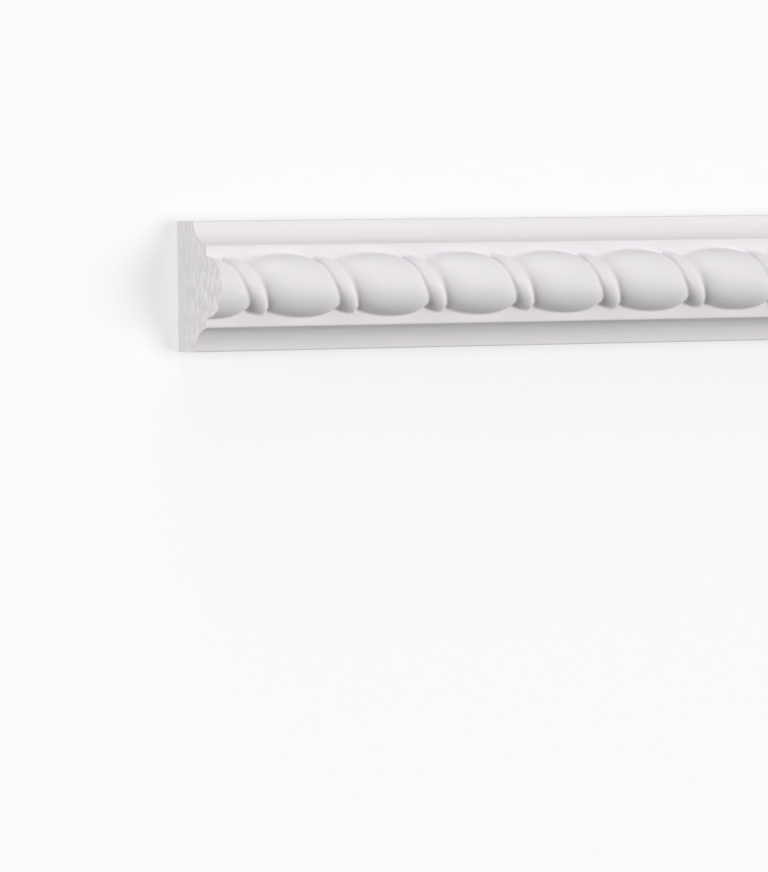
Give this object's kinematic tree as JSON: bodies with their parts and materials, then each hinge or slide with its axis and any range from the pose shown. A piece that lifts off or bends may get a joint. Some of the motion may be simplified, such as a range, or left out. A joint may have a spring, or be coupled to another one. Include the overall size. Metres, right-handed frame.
{
  "type": "panel moulding",
  "caption": "Long white foam trim strip with a flat back, coved edges and a raised rope of leaning oval beads and narrow cords, glued to a wall to frame a panel",
  "frame": {"origin": "middle of the flat back, on the surface the moulding lies on", "axes": "+X runs along the length, +Y across the width, +Z out of the wall, from the back towards the rope"},
  "size_m": [2, 0.05, 0.0287],
  "materials": {
    "primed_foam": "matte white primer on rigid foam"
  },
  "bodies": {
    "root": {"panel_moulding": "primed_foam"}
  },
  "joints": []
}
